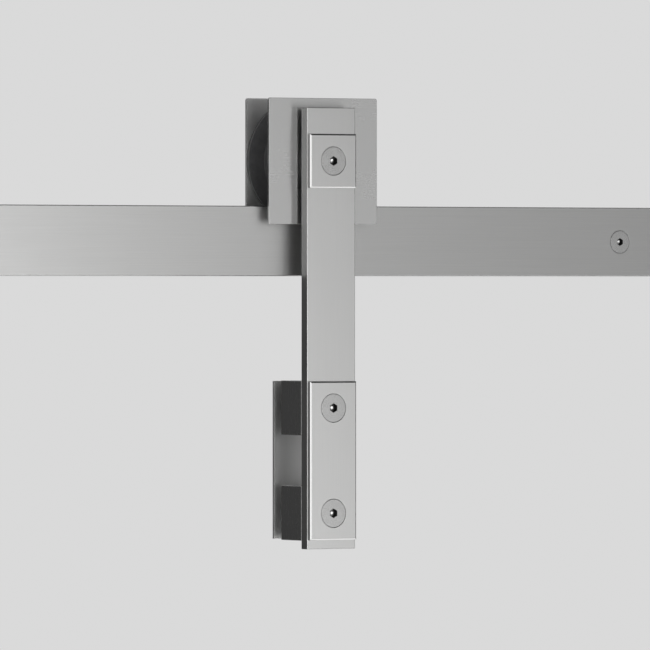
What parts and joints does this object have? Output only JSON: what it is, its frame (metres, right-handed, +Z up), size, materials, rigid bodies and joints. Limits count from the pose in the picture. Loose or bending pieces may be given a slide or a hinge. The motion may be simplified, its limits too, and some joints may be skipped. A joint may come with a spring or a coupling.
{
  "type": "sliding barn door roller hardware",
  "caption": "Satin steel roller hanger with a bolted glass clamp, running on a wall-mounted flat rail section between rubber-faced end stops.",
  "frame": {"origin": "on the wall plane, at the rail's mid length and mid height", "axes": "+X along the rail, +Y into the wall, +Z up; the hardware stands out from the wall towards -Y"},
  "size_m": [0.74, 0.1035, 0.3215],
  "materials": {
    "satin_steel": "fine linear brushed stainless steel",
    "screw_steel": "turned bright stainless steel",
    "bearing_steel": "ground bearing steel",
    "graphite_nylon": "turned dark nylon, semi-gloss",
    "black_rubber": "matt black rubber"
  },
  "bodies": {
    "rail": {"end_stop_left": "satin_steel", "end_stop_right": "satin_steel", "rail_screw_left": "screw_steel", "rail_screw_right": "screw_steel", "standoff_left": "satin_steel", "standoff_right": "satin_steel", "stop_bumper_left": "black_rubber", "stop_bumper_right": "black_rubber", "stop_grub_screw_left_1": "screw_steel", "stop_grub_screw_left_2": "screw_steel", "stop_grub_screw_right_1": "screw_steel", "stop_grub_screw_right_2": "screw_steel", "track_rail": "satin_steel"},
    "hanger": {"axle_bolt": "screw_steel", "axle_cover_plate": "satin_steel", "axle_nut": "screw_steel", "axle_washer": "screw_steel", "clamp_bolt_lower": "screw_steel", "clamp_bolt_upper": "screw_steel", "clamp_cover_plate": "satin_steel", "clamp_nut_lower": "screw_steel", "clamp_nut_upper": "screw_steel", "clamp_washer_lower": "screw_steel", "clamp_washer_upper": "screw_steel", "dowel_pin_lower": "bearing_steel", "dowel_pin_upper": "bearing_steel", "front_bearing_inner_ring": "bearing_steel", "front_gasket_lower": "black_rubber", "front_gasket_upper": "black_rubber", "front_guard_plate": "satin_steel", "front_shim": "bearing_steel", "hanger_strap": "satin_steel", "hub_sleeve": "bearing_steel", "rear_bearing_inner_ring": "bearing_steel", "rear_clamp_plate": "satin_steel", "rear_gasket_lower": "black_rubber", "rear_gasket_upper": "black_rubber", "rear_guard_plate": "satin_steel", "rear_shim": "bearing_steel", "spacer_block_lower": "satin_steel", "spacer_block_upper": "satin_steel", "strap_spacer_ring": "satin_steel"},
    "wheel": {"wheel": "graphite_nylon", "front_bearing_front_seal": "black_rubber", "front_bearing_outer_ring": "bearing_steel", "front_bearing_rear_seal": "black_rubber", "rear_bearing_front_seal": "black_rubber", "rear_bearing_outer_ring": "bearing_steel", "rear_bearing_rear_seal": "black_rubber"},
    "front_balls": {"front_bearing_balls": "bearing_steel"},
    "rear_balls": {"rear_bearing_balls": "bearing_steel"}
  },
  "joints": [
    {"name": "hanger_slide", "type": "slide", "parent": "rail", "child": "hanger", "axis": [1, 0, 0], "range_m": [-0.286, 0.263]},
    {"name": "wheel_roll", "type": "hinge", "parent": "hanger", "child": "wheel", "pos_m": [0.0115, -0.037, 0.057], "axis": [0, 1, 0], "range_deg": [-520, 520]},
    {"name": "front_balls_roll", "type": "hinge", "parent": "hanger", "child": "front_balls", "pos_m": [0.0115, -0.046, 0.057], "axis": [0, 1, 0], "range_deg": [-320, 320]},
    {"name": "rear_balls_roll", "type": "hinge", "parent": "hanger", "child": "rear_balls", "pos_m": [0.0115, -0.0293, 0.057], "axis": [0, 1, 0], "range_deg": [-320, 320]}
  ],
  "couplings": [
    {"joint": "wheel_roll", "follows": "hanger_slide", "rad_per_m": 31.25},
    {"joint": "front_balls_roll", "follows": "hanger_slide", "rad_per_m": 19.34},
    {"joint": "rear_balls_roll", "follows": "hanger_slide", "rad_per_m": 19.34}
  ]
}
